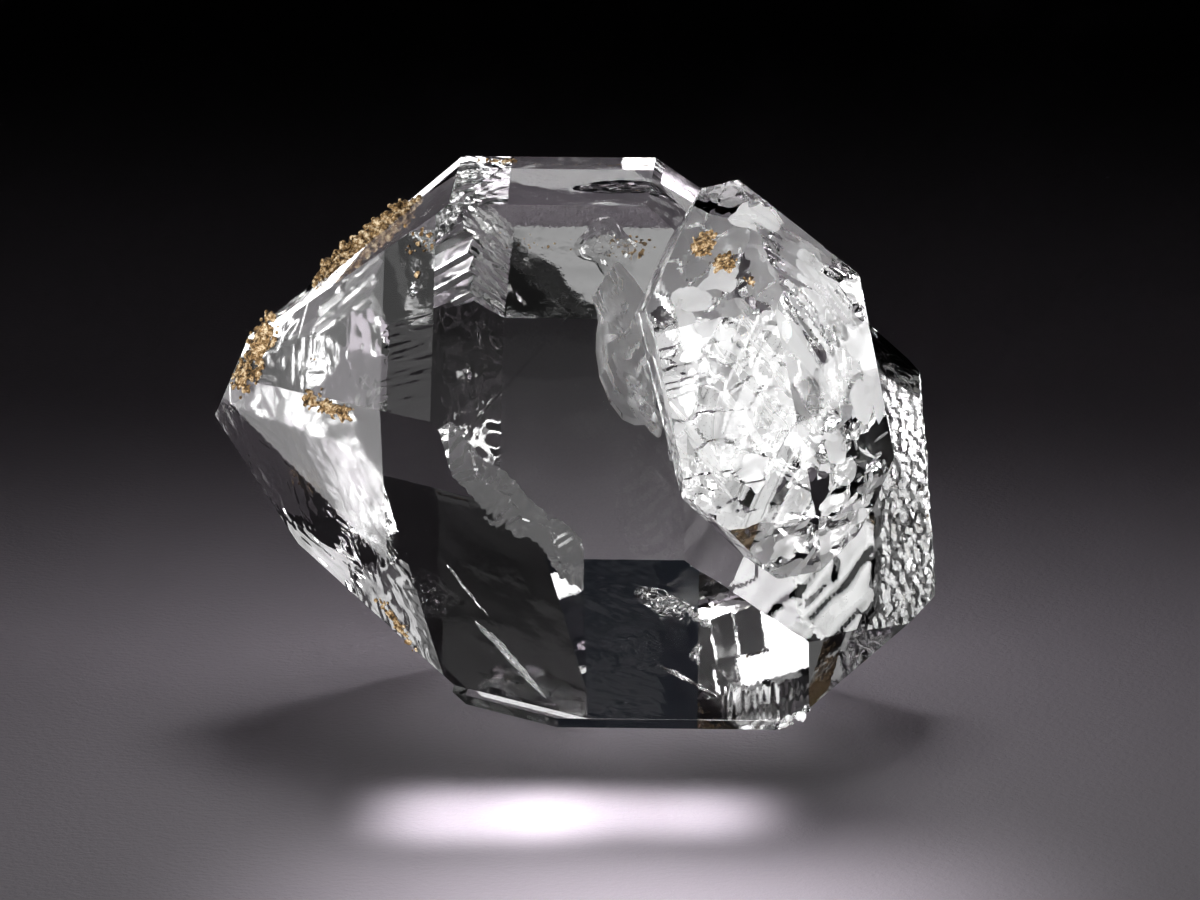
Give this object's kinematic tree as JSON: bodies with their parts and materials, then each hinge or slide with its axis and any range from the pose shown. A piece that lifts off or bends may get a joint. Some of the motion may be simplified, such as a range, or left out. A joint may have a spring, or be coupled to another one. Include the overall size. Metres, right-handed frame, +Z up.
{
  "type": "herkimer diamond quartz crystal",
  "caption": "Stubby clear quartz crystal pointed at each end, lying on a prism face, with a smaller veined crystal grown through its shoulder and spots of brown crust.",
  "frame": {"origin": "centre of the base of the whole box, on the surface that it rests on", "axes": "+Z up from the prism face that it rests on; X along the large crystal's c axis, +X towards the end with the smaller crystal; -Y towards the side with the smaller crystal"},
  "size_m": [0.0302, 0.025, 0.0228],
  "materials": {
    "quartz": "clear colourless quartz, glassy natural faces, cloudy with veils in the smaller crystal",
    "crust": "matt ochre brown, granular"
  },
  "bodies": {
    "root": {"quartz": "quartz", "crust_upper_edge": "crust", "crust_tip": "crust", "crust_ridge": "crust", "crust_spot_upper": "crust", "crust_spot_lower": "crust"}
  },
  "joints": []
}
